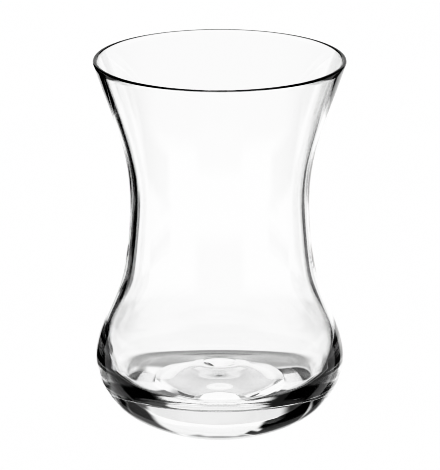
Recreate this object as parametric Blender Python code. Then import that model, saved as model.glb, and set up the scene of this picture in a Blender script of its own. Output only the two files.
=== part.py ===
"""A tulip-waisted tea glass: one thick-bottomed shape turned about the Z axis.

The glass stands on the plane z = 0 with its axis on Z. All lengths are in metres.
"""
import math

import bmesh
import bpy
import numpy as np

MM = 0.001

# Overall sizes.
HEIGHT = 90.0 * MM
FOOT_RADIUS = 15.15 * MM
BULB_RADIUS = 29.7 * MM
WAIST_RADIUS = 21.44 * MM
RIM_RADIUS = 30.35 * MM

# The outer wall from the foot to the rim, as (height, radius) stations on one smooth curve.
OUTER_STATIONS = (
    (0.0, FOOT_RADIUS),
    (1.5 * MM, 18.66 * MM),
    (4.0 * MM, 22.95 * MM),
    (9.0 * MM, 27.45 * MM),
    (16.0 * MM, BULB_RADIUS),
    (24.0 * MM, 28.15 * MM),
    (34.0 * MM, 24.18 * MM),
    (45.0 * MM, 22.0 * MM),
    (56.0 * MM, WAIST_RADIUS),
    (70.0 * MM, 23.48 * MM),
    (82.0 * MM, 27.58 * MM),
    (HEIGHT, RIM_RADIUS),
)

# The thickness of the wall, measured level, as (height, thickness) stations.
LIP_THICKNESS = 1.0 * MM
WALL_START = 17.0 * MM
WALL_STATIONS = (
    (WALL_START, 2.55 * MM),
    (24.0 * MM, 1.75 * MM),
    (31.0 * MM, 2.05 * MM),
    (40.0 * MM, 1.85 * MM),
    (56.0 * MM, 1.65 * MM),
    (68.0 * MM, 1.42 * MM),
    (79.0 * MM, 1.42 * MM),
    (HEIGHT, LIP_THICKNESS),
)

# The inside of the thick bottom, as (radius, height) stations from the axis out to the wall at WALL_START.
FLOOR_STATIONS = (
    (0.0, 11.85 * MM),
    (4.0 * MM, 13.6 * MM),
    (8.0 * MM, 13.2 * MM),
    (12.0 * MM, 12.3 * MM),
    (18.0 * MM, 11.2 * MM),
    (23.0 * MM, 11.05 * MM),
)

# The dimple in the underside.
DIMPLE_RADIUS = 9.45 * MM
DIMPLE_DEPTH = 0.25 * MM
DIMPLE_SHARPNESS = 2.0

# How finely each stretch of the outline is divided, and how strongly its rings crowd where it bends most.
TURN_STEPS = 80
OUTER_STEPS = 22
OUTER_CROWDING = 1.6
INNER_STEPS = 12
FLOOR_STEPS = 16
FLOOR_CROWDING = 0.9
LIP_STEPS = 4
DIMPLE_STEPS = 5

GLASS_COLOUR = (0.93, 0.95, 0.95, 1.0)
GLASS_ROUGHNESS = 0.02
GLASS_IOR = 1.5
CREASE_ANGLE = math.radians(40.0)
MERGE_DISTANCE = 0.00001
SLOPE_STEP = 0.1 * MM


def clear_scene():
    """Removes every object the file starts with."""
    for item in list(bpy.data.objects):
        bpy.data.objects.remove(item)


def smooth_curve(stations, first_slope=None, last_slope=None):
    """Returns a function that passes smoothly through (place, value) stations.

    Each end of the curve is free, or runs at the slope set for it.
    """
    places = np.array([place for place, value in stations])
    values = np.array([value for place, value in stations])
    count = len(stations)
    gaps = np.diff(places)
    slopes = np.diff(values) / gaps
    matrix = np.eye(count)
    right = np.zeros(count)
    for i in range(1, count - 1):
        matrix[i, i - 1] = gaps[i - 1]
        matrix[i, i] = 2.0 * (gaps[i - 1] + gaps[i])
        matrix[i, i + 1] = gaps[i]
        right[i] = 6.0 * (slopes[i] - slopes[i - 1])
    if first_slope is not None:
        matrix[0, 0:2] = 2.0 * gaps[0], gaps[0]
        right[0] = 6.0 * (slopes[0] - first_slope)
    if last_slope is not None:
        matrix[-1, -2:] = gaps[-1], 2.0 * gaps[-1]
        right[-1] = 6.0 * (last_slope - slopes[-1])
    bends = np.linalg.solve(matrix, right)

    def value_at(place):
        i = int(np.clip(np.searchsorted(places, place) - 1, 0, count - 2))
        ahead = places[i + 1] - place
        behind = place - places[i]
        gap = gaps[i]
        curved = (bends[i] * ahead**3 + bends[i + 1] * behind**3) / (6.0 * gap)
        low = (values[i] / gap - bends[i] * gap / 6.0) * ahead
        high = (values[i + 1] / gap - bends[i + 1] * gap / 6.0) * behind
        return float(curved + low + high)

    return value_at


outer_radius = smooth_curve(OUTER_STATIONS)
wall_thickness = smooth_curve(WALL_STATIONS)


def inner_radius(height):
    """The radius of the hollow above its floor."""
    return outer_radius(height) - wall_thickness(height)


def floor_points():
    """The floor of the hollow, from the axis out and up into the wall, which it meets without a kink."""
    wall = (inner_radius(WALL_START), WALL_START)
    rise = (inner_radius(WALL_START + SLOPE_STEP) - wall[0], SLOPE_STEP)
    steepness = math.hypot(*rise)
    stations = FLOOR_STATIONS + (wall,)
    travel = [0.0]
    for (r0, h0), (r1, h1) in zip(stations, stations[1:]):
        travel.append(travel[-1] + math.hypot(r1 - r0, h1 - h0))
    radius_at = smooth_curve([(t, r) for t, (r, h) in zip(travel, stations)], 1.0, rise[0] / steepness)
    height_at = smooth_curve([(t, h) for t, (r, h) in zip(travel, stations)], 0.0, rise[1] / steepness)
    points = [(0.0, FLOOR_STATIONS[0][1])]
    for i in range(1, FLOOR_STEPS):
        place = travel[-1] * (i / FLOOR_STEPS) ** FLOOR_CROWDING
        points.append((radius_at(place), height_at(place)))
    return points


def inner_wall_points():
    """The inner wall, upwards from the floor to the lip."""
    lip_base = HEIGHT - 0.5 * LIP_THICKNESS
    heights = np.linspace(WALL_START, lip_base, INNER_STEPS + 1)
    return [(inner_radius(height), float(height)) for height in heights]


def lip_points():
    """The rounded lip, over the top from inside to outside."""
    half = 0.5 * LIP_THICKNESS
    lip_base = HEIGHT - half
    middle = outer_radius(lip_base) - half
    points = []
    for i in range(1, LIP_STEPS):
        angle = math.pi * (1.0 - i / LIP_STEPS)
        points.append((middle + half * math.cos(angle), lip_base + half * math.sin(angle)))
    return points


def outer_wall_points():
    """The outer wall, downwards from the lip to the foot, with its rings closer together near the foot."""
    lip_base = HEIGHT - 0.5 * LIP_THICKNESS
    points = []
    for i in range(OUTER_STEPS + 1):
        height = lip_base * (1.0 - i / OUTER_STEPS) ** OUTER_CROWDING
        points.append((outer_radius(height), height))
    return points


def underside_points():
    """The underside: the flat ring of the foot, then the dimple in to the axis."""
    points = []
    for i in range(DIMPLE_STEPS + 1):
        share = 1.0 - i / DIMPLE_STEPS
        rise = DIMPLE_DEPTH * (0.5 + 0.5 * math.cos(math.pi * share)) ** DIMPLE_SHARPNESS
        points.append((DIMPLE_RADIUS * share, rise))
    return points


def glass_outline():
    """The whole section, from the floor's middle up the inside, over the lip and down the outside."""
    return floor_points() + inner_wall_points() + lip_points() + outer_wall_points() + underside_points()


def glass_material():
    """Clear colourless glass."""
    material = bpy.data.materials.new("clear_glass")
    material.use_nodes = True
    shader = material.node_tree.nodes["Principled BSDF"]
    shader.inputs["Base Color"].default_value = GLASS_COLOUR
    shader.inputs["Roughness"].default_value = GLASS_ROUGHNESS
    shader.inputs["Metallic"].default_value = 0.0
    shader.inputs["IOR"].default_value = GLASS_IOR
    shader.inputs["Transmission Weight"].default_value = 1.0
    return material


def build_glass():
    """Turns the section about the Z axis into the glass."""
    shape = bmesh.new()
    points = [shape.verts.new((radius, 0.0, height)) for radius, height in glass_outline()]
    edges = [shape.edges.new(pair) for pair in zip(points, points[1:])]
    bmesh.ops.spin(
        shape,
        geom=points + edges,
        cent=(0.0, 0.0, 0.0),
        axis=(0.0, 0.0, 1.0),
        angle=2.0 * math.pi,
        steps=TURN_STEPS,
        use_merge=True,
    )
    bmesh.ops.remove_doubles(shape, verts=shape.verts, dist=MERGE_DISTANCE)
    bmesh.ops.recalc_face_normals(shape, faces=shape.faces)
    mesh = bpy.data.meshes.new("glass")
    shape.to_mesh(mesh)
    shape.free()
    mesh.shade_smooth()
    mesh.set_sharp_from_angle(angle=CREASE_ANGLE)
    mesh.materials.append(glass_material())
    glass = bpy.data.objects.new("glass", mesh)
    bpy.context.scene.collection.objects.link(glass)
    return glass


def main():
    """Builds the tea glass."""
    clear_scene()
    build_glass()


main()
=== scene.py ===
"""A studio picture of a clear tulip-waisted tea glass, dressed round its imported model.

The glass stands on the plane z = 0 with its axis on Z. All lengths are in metres.
"""

import logging
import math
from dataclasses import dataclass
from enum import Enum
from typing import Sequence

import bpy
import numpy as np
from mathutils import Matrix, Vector


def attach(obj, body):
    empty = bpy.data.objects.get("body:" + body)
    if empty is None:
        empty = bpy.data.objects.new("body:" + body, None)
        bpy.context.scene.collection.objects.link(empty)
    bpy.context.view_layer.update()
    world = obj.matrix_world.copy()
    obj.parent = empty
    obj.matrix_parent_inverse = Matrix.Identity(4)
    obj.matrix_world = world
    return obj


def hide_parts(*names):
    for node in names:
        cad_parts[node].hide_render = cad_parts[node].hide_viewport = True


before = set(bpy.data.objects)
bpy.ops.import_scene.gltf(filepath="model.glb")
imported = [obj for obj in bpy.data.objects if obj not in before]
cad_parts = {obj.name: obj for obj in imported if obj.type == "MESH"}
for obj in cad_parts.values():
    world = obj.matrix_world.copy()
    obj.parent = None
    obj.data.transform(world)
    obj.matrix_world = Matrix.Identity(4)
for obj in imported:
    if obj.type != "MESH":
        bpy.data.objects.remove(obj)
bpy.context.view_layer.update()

MM = 0.001
PHOTO_WIDTH = 440
PHOTO_HEIGHT = 470
FULL_TURN = 360.0
HALF_TURN = 180.0
WHITE = (1.0, 1.0, 1.0, 1.0)

log = logging.getLogger("tea_glass")

Point = tuple[float, float]


class Part(Enum):
    """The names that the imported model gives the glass."""

    BODY = "root"
    NODE = "glass"
    SLOT = "clear_glass"


class SmoothCurve:
    """A smooth curve through stations, whose ends are free or run at a slope of their own."""

    def __init__(
        self, stations: Sequence[Point], first: float | None = None, last: float | None = None
    ) -> None:
        """Works out how the curve bends at each station.

        Args:
            stations: The places and the values that the curve passes through.
            first: The slope at the first station, or None for a free end.
            last: The slope at the last station, or None for a free end.
        """
        self.places = np.array([place for place, value in stations])
        self.values = np.array([value for place, value in stations])
        self.gaps = np.diff(self.places)
        slopes = np.diff(self.values) / self.gaps
        count = len(stations)
        matrix = np.eye(count)
        right = np.zeros(count)
        for i in range(1, count - 1):
            matrix[i, i - 1] = self.gaps[i - 1]
            matrix[i, i] = 2.0 * (self.gaps[i - 1] + self.gaps[i])
            matrix[i, i + 1] = self.gaps[i]
            right[i] = 6.0 * (slopes[i] - slopes[i - 1])
        if first is not None:
            matrix[0, 0:2] = 2.0 * self.gaps[0], self.gaps[0]
            right[0] = 6.0 * (slopes[0] - first)
        if last is not None:
            matrix[-1, -2:] = self.gaps[-1], 2.0 * self.gaps[-1]
            right[-1] = 6.0 * (last - slopes[-1])
        self.bends = np.linalg.solve(matrix, right)

    def __call__(self, place: float) -> float:
        """Returns the curve's value.

        Args:
            place: Where along the curve.

        Returns:
            The value there.
        """
        i = int(np.clip(np.searchsorted(self.places, place) - 1, 0, len(self.gaps) - 1))
        ahead = self.places[i + 1] - place
        behind = place - self.places[i]
        gap = self.gaps[i]
        curved = (self.bends[i] * ahead**3 + self.bends[i + 1] * behind**3) / (6.0 * gap)
        low = (self.values[i] / gap - self.bends[i] * gap / 6.0) * ahead
        high = (self.values[i + 1] / gap - self.bends[i + 1] * gap / 6.0) * behind
        return float(curved + low + high)


class NodeSheet:
    """A node tree with short ways to add sums and ramps."""

    def __init__(self, tree: bpy.types.NodeTree) -> None:
        """Keeps the tree that nodes are added to."""
        self.tree = tree

    def add(self, kind: str, **settings: object) -> bpy.types.Node:
        """Adds a node.

        Args:
            kind: The node's type name.
            **settings: Properties to set on the node.

        Returns:
            The node.
        """
        node = self.tree.nodes.new(kind)
        for name, value in settings.items():
            setattr(node, name, value)
        return node

    def feed(self, source: object, socket: bpy.types.NodeSocket) -> None:
        """Links a socket, or sets a number on it.

        Args:
            source: The output to link from, or the number.
            socket: The input.
        """
        if isinstance(source, bpy.types.NodeSocket):
            self.tree.links.new(source, socket)
        else:
            socket.default_value = source

    def math(self, operation: str, *inputs: object) -> bpy.types.NodeSocket:
        """Adds a sum.

        Args:
            operation: The Math node's operation.
            *inputs: Sockets or numbers.

        Returns:
            The sum's output.
        """
        node = self.add("ShaderNodeMath", operation=operation)
        for source, socket in zip(inputs, node.inputs):
            self.feed(source, socket)
        return node.outputs[0]

    def scale(self, source: bpy.types.NodeSocket, low: float, high: float) -> bpy.types.NodeSocket:
        """Adds a ramp that turns 0 into one number and 1 into another.

        Args:
            source: A value from 0 to 1.
            low: What 0 becomes.
            high: What 1 becomes.

        Returns:
            The ramp's output.
        """
        node = self.add("ShaderNodeMapRange")
        self.feed(source, node.inputs["Value"])
        node.inputs["To Min"].default_value = low
        node.inputs["To Max"].default_value = high
        return node.outputs["Result"]

    def rise(self, source: bpy.types.NodeSocket, start: float, end: float) -> bpy.types.NodeSocket:
        """Adds a soft step from 0 to 1.

        Args:
            source: What is measured.
            start: Where the step begins.
            end: Where it ends.

        Returns:
            The step's output.
        """
        node = self.add("ShaderNodeMapRange", interpolation_type="SMOOTHSTEP")
        self.feed(source, node.inputs["Value"])
        node.inputs["From Min"].default_value = start
        node.inputs["From Max"].default_value = end
        return node.outputs["Result"]


@dataclass(frozen=True)
class Ripple:
    """A slow, uneven change over a surface, as a node group that every finish shares."""

    name: str = "ripple"
    size: float = 10.0 * MM
    detail: float = 2.0
    softness: float = 0.45

    def group(self) -> bpy.types.NodeTree:
        """Finds the group, or builds it the first time.

        Returns:
            The group, with a Size input in metres and a Value output from 0 to 1.
        """
        found = bpy.data.node_groups.get(self.name)
        if found is not None:
            return found
        tree = bpy.data.node_groups.new(self.name, "ShaderNodeTree")
        size = tree.interface.new_socket("Size", in_out="INPUT", socket_type="NodeSocketFloat")
        size.default_value = self.size
        tree.interface.new_socket("Value", in_out="OUTPUT", socket_type="NodeSocketFloat")
        sheet = NodeSheet(tree)
        taken = sheet.add("NodeGroupInput")
        given = sheet.add("NodeGroupOutput")
        place = sheet.add("ShaderNodeTexCoord")
        noise = sheet.add("ShaderNodeTexNoise")
        noise.inputs["Detail"].default_value = self.detail
        noise.inputs["Roughness"].default_value = self.softness
        sheet.feed(place.outputs["Object"], noise.inputs["Vector"])
        sheet.feed(sheet.math("DIVIDE", 1.0, taken.outputs["Size"]), noise.inputs["Scale"])
        sheet.feed(noise.outputs[0], given.inputs["Value"])
        return tree

    def use(self, sheet: NodeSheet, size: float) -> bpy.types.NodeSocket:
        """Puts the group in a material.

        Args:
            sheet: The material's nodes.
            size: How far apart the changes are, in metres.

        Returns:
            The group's output.
        """
        node = sheet.add("ShaderNodeGroup")
        node.node_tree = self.group()
        node.inputs["Size"].default_value = size
        return node.outputs["Value"]


@dataclass(frozen=True)
class ClearGlass:
    """Polished, colourless soda glass, with the faint waves that its mould leaves."""

    ior: float = 1.5
    wave_size: float = 11.0 * MM
    wave_height: float = 0.006 * MM
    haze_size: float = 4.0 * MM
    haze: float = 0.006

    def material(self) -> bpy.types.Material:
        """Makes the glass's material.

        Returns:
            The material.
        """
        material = bpy.data.materials.new("clear_glass")
        material.use_nodes = True
        sheet = NodeSheet(material.node_tree)
        shader = material.node_tree.nodes["Principled BSDF"]
        shader.inputs["Base Color"].default_value = WHITE
        shader.inputs["IOR"].default_value = self.ior
        shader.inputs["Transmission Weight"].default_value = 1.0
        ripple = Ripple()
        sheet.feed(sheet.scale(ripple.use(sheet, self.haze_size), 0.0, self.haze), shader.inputs["Roughness"])
        bump = sheet.add("ShaderNodeBump")
        bump.inputs["Distance"].default_value = self.wave_height
        sheet.feed(ripple.use(sheet, self.wave_size), bump.inputs["Height"])
        sheet.feed(bump.outputs["Normal"], shader.inputs["Normal"])
        return material


@dataclass(frozen=True)
class PaleFloor:
    """A matt white surface, very slightly uneven in tone."""

    darkest: float = 0.93
    lightest: float = 0.95
    patch_size: float = 60.0 * MM
    roughness: float = 0.9

    def material(self) -> bpy.types.Material:
        """Makes the floor's material.

        Returns:
            The material.
        """
        material = bpy.data.materials.new("pale_floor")
        material.use_nodes = True
        sheet = NodeSheet(material.node_tree)
        shader = material.node_tree.nodes["Principled BSDF"]
        tone = sheet.scale(Ripple().use(sheet, self.patch_size), self.darkest, self.lightest)
        sheet.feed(tone, shader.inputs["Base Color"])
        shader.inputs["Roughness"].default_value = self.roughness
        shader.inputs["Specular IOR Level"].default_value = 0.0
        return material


@dataclass
class TeaGlass:
    """The glass: one wall turned about Z, with a thick bottom and a dimple under it."""

    height: float = 90.0 * MM
    foot_radius: float = 15.15 * MM
    bulb_radius: float = 29.7 * MM
    waist_radius: float = 21.44 * MM
    rim_radius: float = 30.35 * MM
    lip: float = 1.0 * MM
    wall_start: float = 17.0 * MM
    dimple_radius: float = 9.45 * MM
    dimple_depth: float = 0.25 * MM
    dimple_sharpness: float = 2.0
    floor_steps: int = 70
    wall_steps: int = 90
    lip_steps: int = 12
    outer_steps: int = 130
    outer_crowding: float = 1.5
    dimple_steps: int = 40
    turn_steps: int = 256
    seed_size: float = 1.0 * MM
    slope_step: float = 0.1 * MM
    merge_distance: float = 0.0005 * MM
    crease: float = math.radians(30.0)

    def __post_init__(self) -> None:
        """Draws the curves of the two sides of the wall."""
        self.outer = SmoothCurve((
            (0.0, self.foot_radius),
            (1.5 * MM, 18.66 * MM),
            (4.0 * MM, 22.95 * MM),
            (9.0 * MM, 27.45 * MM),
            (16.0 * MM, self.bulb_radius),
            (24.0 * MM, 28.15 * MM),
            (34.0 * MM, 24.18 * MM),
            (45.0 * MM, 22.0 * MM),
            (56.0 * MM, self.waist_radius),
            (70.0 * MM, 23.48 * MM),
            (82.0 * MM, 27.58 * MM),
            (self.height, self.rim_radius),
        ))
        self.thickness = SmoothCurve((
            (self.wall_start, 2.55 * MM),
            (24.0 * MM, 1.75 * MM),
            (31.0 * MM, 2.05 * MM),
            (40.0 * MM, 1.85 * MM),
            (56.0 * MM, 1.65 * MM),
            (68.0 * MM, 1.42 * MM),
            (79.0 * MM, 1.42 * MM),
            (self.height, self.lip),
        ))
        self.floor_stations = (
            (0.0, 11.85 * MM),
            (4.0 * MM, 13.6 * MM),
            (8.0 * MM, 13.2 * MM),
            (12.0 * MM, 12.3 * MM),
            (18.0 * MM, 11.2 * MM),
            (23.0 * MM, 11.05 * MM),
        )

    def inner(self, height: float) -> float:
        """Returns the hollow's radius at a height above its floor."""
        return self.outer(height) - self.thickness(height)

    def floor_points(self) -> list[Point]:
        """Draws the hollow's floor, from the axis out and up into the wall.

        Returns:
            Points as (radius, height).
        """
        wall = (self.inner(self.wall_start), self.wall_start)
        rise = (self.inner(self.wall_start + self.slope_step) - wall[0], self.slope_step)
        steepness = math.hypot(*rise)
        stations = self.floor_stations + (wall,)
        travel = [0.0]
        for (r0, h0), (r1, h1) in zip(stations, stations[1:]):
            travel.append(travel[-1] + math.hypot(r1 - r0, h1 - h0))
        radii = [(along, radius) for along, (radius, height) in zip(travel, stations)]
        heights = [(along, height) for along, (radius, height) in zip(travel, stations)]
        radius_at = SmoothCurve(radii, 1.0, rise[0] / steepness)
        height_at = SmoothCurve(heights, 0.0, rise[1] / steepness)
        points = [(0.0, stations[0][1])]
        for i in range(1, self.floor_steps):
            place = travel[-1] * i / self.floor_steps
            points.append((radius_at(place), height_at(place)))
        return points

    def lip_points(self, lip_base: float) -> list[Point]:
        """Draws the rounded lip, over the top from inside to outside.

        Args:
            lip_base: The height where the rounding begins.

        Returns:
            Points as (radius, height).
        """
        half = 0.5 * self.lip
        middle = self.outer(lip_base) - half
        points = []
        for angle in np.linspace(math.pi, 0.0, self.lip_steps + 1)[1:-1]:
            points.append((middle + half * math.cos(angle), lip_base + half * math.sin(angle)))
        return points

    def dimple_points(self) -> list[Point]:
        """Draws the underside, from the foot's flat ring in to the middle of the dimple.

        Returns:
            Points as (radius, height).
        """
        points = []
        for share in np.linspace(1.0, 0.0, self.dimple_steps):
            swell = (0.5 + 0.5 * math.cos(math.pi * share)) ** self.dimple_sharpness
            points.append((self.dimple_radius * float(share), self.dimple_depth * swell))
        return points

    def section(self) -> list[Point]:
        """Draws the whole section, from the floor's middle over the lip to the underside's middle.

        Returns:
            Points as (radius, height).
        """
        lip_base = self.height - 0.5 * self.lip
        inner_heights = np.linspace(self.wall_start, lip_base, self.wall_steps)
        outer_heights = lip_base * np.linspace(1.0, 0.0, self.outer_steps) ** self.outer_crowding
        points = self.floor_points()
        points += [(self.inner(height), float(height)) for height in inner_heights]
        points += self.lip_points(lip_base)
        points += [(self.outer(height), float(height)) for height in outer_heights]
        return points + self.dimple_points()

    def build(self) -> bpy.types.Object:
        """Draws the section as a chain of points and turns it about Z.

        Returns:
            The finished piece.
        """
        bpy.ops.object.select_all(action="DESELECT")
        points = self.section()
        bpy.ops.mesh.primitive_plane_add(size=self.seed_size, location=(points[0][0], 0.0, points[0][1]))
        piece = bpy.context.object
        piece.name = "tea_glass"
        bpy.ops.object.mode_set(mode="EDIT")
        bpy.ops.mesh.merge(type="CENTER")
        bpy.ops.object.mode_set(mode="OBJECT")
        bpy.ops.object.transform_apply(location=True)
        bpy.ops.object.mode_set(mode="EDIT")
        bpy.ops.mesh.select_all(action="SELECT")
        for (r0, z0), (r1, z1) in zip(points, points[1:]):
            bpy.ops.mesh.extrude_region_move(TRANSFORM_OT_translate={"value": (r1 - r0, 0.0, z1 - z0)})
        bpy.ops.mesh.select_all(action="SELECT")
        bpy.ops.mesh.spin(
            steps=self.turn_steps, angle=2.0 * math.pi, center=(0.0, 0.0, 0.0), axis=(0.0, 0.0, 1.0)
        )
        bpy.ops.mesh.select_all(action="SELECT")
        bpy.ops.mesh.remove_doubles(threshold=self.merge_distance)
        bpy.ops.mesh.normals_make_consistent(inside=False)
        bpy.ops.object.mode_set(mode="OBJECT")
        bpy.ops.object.shade_smooth_by_angle(angle=self.crease)
        log.info("%s: %d faces, from %d points", piece.name, len(piece.data.polygons), len(points))
        return piece

    def dress(self, piece: bpy.types.Object) -> None:
        """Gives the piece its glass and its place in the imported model.

        Args:
            piece: The glass.
        """
        piece.data.materials.append(ClearGlass().material())
        piece.visible_shadow = False
        piece.visible_diffuse = False
        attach(piece, Part.BODY.value)
        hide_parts(Part.NODE.value)
        log.info("%s: dressed in %s", piece.name, piece.data.materials[0].name)


@dataclass(frozen=True)
class Card:
    """A lit or dark card round the glass, as the glass sees it.

    Azimuth 0 is straight behind the glass, 90 its right side and 180 the camera's side. All but the light
    are in degrees.
    """

    name: str
    azimuth: float
    half_width: float
    low: float
    high: float
    light: float
    soft: float = 3.0

    def mask(
        self, sheet: NodeSheet, azimuth: bpy.types.NodeSocket, elevation: bpy.types.NodeSocket
    ) -> bpy.types.NodeSocket:
        """Adds the nodes that find the card.

        Args:
            sheet: The world's nodes.
            azimuth: The direction's azimuth in degrees.
            elevation: The direction's height in degrees.

        Returns:
            1 on the card and 0 off it, with soft edges.
        """
        from_back = sheet.math("ADD", azimuth, FULL_TURN + HALF_TURN - self.azimuth)
        turned = sheet.math("MODULO", from_back, FULL_TURN)
        offset = sheet.math("ABSOLUTE", sheet.math("SUBTRACT", turned, HALF_TURN))
        outside = sheet.rise(offset, self.half_width - self.soft, self.half_width + self.soft)
        above = sheet.rise(elevation, self.low - self.soft, self.low + self.soft)
        over = sheet.rise(elevation, self.high - self.soft, self.high + self.soft)
        upright = sheet.math("SUBTRACT", above, over)
        return sheet.math("MULTIPLY", sheet.math("SUBTRACT", 1.0, outside), upright)


@dataclass
class Studio:
    """The floor that the glass stands on and the light round it.

    The backdrop light is what the floor and the background have. The other light is what the glass has
    between the cards. Where cards lap over each other, the later one is in front.
    """

    backdrop_light: float = 1.08
    light: float = 0.99
    floor_size: float = 8.0
    cards: tuple[Card, ...] = (
        Card("left side", azimuth=-107.0, half_width=75.0, low=3.0, high=65.0, light=0.0, soft=4.0),
        Card("right side", azimuth=108.0, half_width=74.0, low=3.0, high=61.0, light=0.0, soft=4.0),
        Card("left side's foot", azimuth=-87.0, half_width=20.0, low=-43.0, high=-24.0, light=0.03),
        Card("right side's foot", azimuth=86.0, half_width=20.0, low=-43.0, high=-24.0, light=0.04),
        Card("left window", azimuth=-64.0, half_width=23.0, low=-27.0, high=2.5, light=0.88),
        Card("right window", azimuth=64.0, half_width=18.5, low=-26.0, high=2.5, light=0.87),
        Card("left edge's head", azimuth=-32.2, half_width=10.3, low=-10.0, high=42.0, light=0.0, soft=1.6),
        Card("left edge's waist", azimuth=-32.0, half_width=14.5, low=-18.5, high=-7.0, light=0.0, soft=1.6),
        Card("left edge's shin", azimuth=-34.5, half_width=13.0, low=-23.5, high=-15.0, light=0.0, soft=1.6),
        Card("left edge's foot", azimuth=-28.5, half_width=13.5, low=-28.2, high=-21.5, light=0.0, soft=1.6),
        Card("left edge's base", azimuth=-32.0, half_width=10.5, low=-58.0, high=-34.0, light=0.0, soft=1.6),
        Card("right edge", azimuth=37.0, half_width=8.5, low=-58.0, high=46.0, light=0.09, soft=2.5),
        Card("near floor's left", azimuth=-49.0, half_width=13.0, low=-59.0, high=-39.0, light=0.0),
        Card("near floor's right", azimuth=50.0, half_width=14.0, low=-57.0, high=-40.0, light=0.0),
        Card("near floor", azimuth=-1.0, half_width=30.0, low=-61.0, high=-30.0, light=0.36),
        Card("under the camera", azimuth=0.0, half_width=40.0, low=-78.0, high=-56.0, light=0.03),
        Card("upper middle", azimuth=1.0, half_width=27.0, low=4.5, high=35.0, light=0.74),
        Card("top bar", azimuth=0.0, half_width=16.0, low=41.0, high=57.0, light=0.19),
        Card("camera's side", azimuth=180.0, half_width=30.0, low=-11.0, high=10.0, light=0.24, soft=6.0),
        Card("window", azimuth=-1.0, half_width=13.0, low=-36.0, high=-6.0, light=0.99),
    )

    def floor(self) -> bpy.types.Object:
        """Lays the pale floor.

        Returns:
            The floor.
        """
        bpy.ops.object.select_all(action="DESELECT")
        bpy.ops.mesh.primitive_plane_add(size=self.floor_size, location=(0.0, 0.0, 0.0))
        floor = bpy.context.object
        floor.name = "floor"
        floor.data.materials.append(PaleFloor().material())
        floor.visible_glossy = False
        floor.visible_transmission = False
        log.info("floor: %.1f m square", self.floor_size)
        return floor

    def world(self) -> None:
        """Sets the cards round the glass, seen only in it, and the even light on everything else."""
        world = bpy.data.worlds.new("studio")
        bpy.context.scene.world = world
        world.use_nodes = True
        world.node_tree.nodes.clear()
        sheet = NodeSheet(world.node_tree)
        place = sheet.add("ShaderNodeTexCoord")
        parts = sheet.add("ShaderNodeSeparateXYZ")
        sheet.feed(place.outputs["Generated"], parts.inputs[0])
        across, along, up = parts.outputs
        azimuth = sheet.math("DEGREES", sheet.math("ARCTAN2", across, along))
        elevation = sheet.math("DEGREES", sheet.math("ARCSINE", up))
        light = self.light
        for card in self.cards:
            mask = card.mask(sheet, azimuth, elevation)
            mask.node.label = card.name
            kept = sheet.math("MULTIPLY", light, sheet.math("SUBTRACT", 1.0, mask))
            light = sheet.math("ADD", kept, sheet.math("MULTIPLY", mask, card.light))
        ray = sheet.add("ShaderNodeLightPath")
        plain = sheet.math("MAXIMUM", ray.outputs["Is Camera Ray"], ray.outputs["Is Diffuse Ray"])
        seen = sheet.math("MULTIPLY", light, sheet.math("SUBTRACT", 1.0, plain))
        even = sheet.math("MULTIPLY", plain, self.backdrop_light)
        background = sheet.add("ShaderNodeBackground")
        background.inputs["Color"].default_value = WHITE
        sheet.feed(sheet.math("ADD", seen, even), background.inputs["Strength"])
        output = sheet.add("ShaderNodeOutputWorld")
        sheet.feed(background.outputs[0], output.inputs[0])
        log.info("studio: %d cards", len(self.cards))

    def build(self) -> None:
        """Lays the floor and sets the light."""
        self.floor()
        self.world()


@dataclass(frozen=True)
class PictureSettings:
    """How the picture is worked out: enough bounces for a thick clear bottom, thin crisp lines, deep darks.

    Each tone is the brightness before the curve and the brightness after it.
    """

    transform: str = "Standard"
    bounces: int = 32
    glossy_bounces: int = 24
    filter_width: float = 1.0
    tones: tuple[Point, ...] = ((0.015, 0.0015), (0.07, 0.021), (0.27, 0.22), (0.6, 0.67), (0.8, 0.89))

    def apply(self, scene: bpy.types.Scene) -> None:
        """Sets the scene's colour and light path settings.

        Args:
            scene: The scene.
        """
        view = scene.view_settings
        view.view_transform = self.transform
        view.use_curve_mapping = True
        for before, after in self.tones:
            view.curve_mapping.curves[-1].points.new(before, after)
        view.curve_mapping.update()
        scene.cycles.max_bounces = self.bounces
        scene.cycles.transmission_bounces = self.bounces
        scene.cycles.glossy_bounces = self.glossy_bounces
        scene.cycles.filter_width = self.filter_width


@dataclass(frozen=True)
class PhotoCamera:
    """The camera at the photograph's viewing angle."""

    distance: float = 1516.9 * MM
    elevation: float = math.radians(15.753)
    aim_height: float = 46.61 * MM
    focal_pixels: float = 6341.0
    axis_column: float = 219.15
    sensor_width: float = 36.0
    farthest: float = 100.0

    def place(self) -> bpy.types.Object:
        """Sets the camera up.

        Returns:
            The camera.
        """
        lens = bpy.data.cameras.new("camera")
        lens.sensor_width = self.sensor_width
        lens.lens = self.sensor_width * self.focal_pixels / PHOTO_HEIGHT
        lens.shift_x = (0.5 * PHOTO_WIDTH - self.axis_column - 0.5) / PHOTO_HEIGHT
        lens.clip_end = self.farthest
        camera = bpy.data.objects.new("camera", lens)
        bpy.context.scene.collection.objects.link(camera)
        aim = Vector((0.0, 0.0, self.aim_height))
        back = Vector((0.0, -math.cos(self.elevation), math.sin(self.elevation)))
        camera.location = aim + back * self.distance
        camera.rotation_euler = (-back).to_track_quat("-Z", "Y").to_euler()
        bpy.context.scene.camera = camera
        return camera


def main() -> None:
    """Builds the glass, the studio and the camera."""
    logging.basicConfig(level=logging.INFO, format="%(name)s: %(message)s")
    PictureSettings().apply(bpy.context.scene)
    glass = TeaGlass()
    glass.dress(glass.build())
    Studio().build()
    PhotoCamera().place()


if __name__ == "__main__":
    main()
